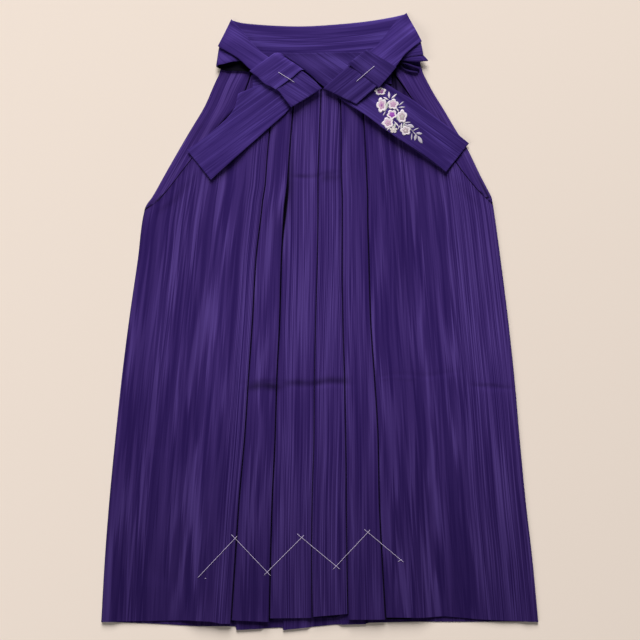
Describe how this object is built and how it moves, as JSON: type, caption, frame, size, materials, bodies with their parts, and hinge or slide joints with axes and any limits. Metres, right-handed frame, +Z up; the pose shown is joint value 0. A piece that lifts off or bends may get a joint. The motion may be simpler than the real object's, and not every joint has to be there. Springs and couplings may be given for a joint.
{
  "type": "pleated hakama skirt",
  "caption": "Pleated skirt-type hakama laid flat, front up, with crossed folded waist straps and a flower spray near a strap's end.",
  "frame": {"origin": "centre of the garment's outline, on the plane it lies on", "axes": "+Z up out of the front of the garment, +Y from the hem towards the waist, +X to the right as seen from above"},
  "size_m": [0.756, 1.068, 0.0184],
  "materials": {
    "hakama_cloth": "matte",
    "strap_cloth": "matte"
  },
  "bodies": {
    "root": {"back_panel": "hakama_cloth", "front_panel": "hakama_cloth", "back_waistband": "strap_cloth", "front_waistband": "strap_cloth", "front_strap_plain": "strap_cloth", "front_strap_loop": "strap_cloth", "front_strap_layers": "strap_cloth", "front_strap_flower": "strap_cloth", "front_strap_flower_under": "strap_cloth", "back_strap_left": "strap_cloth", "back_strap_right": "strap_cloth", "strap_wrap_left": "strap_cloth", "strap_wrap_right": "strap_cloth"}
  },
  "joints": []
}
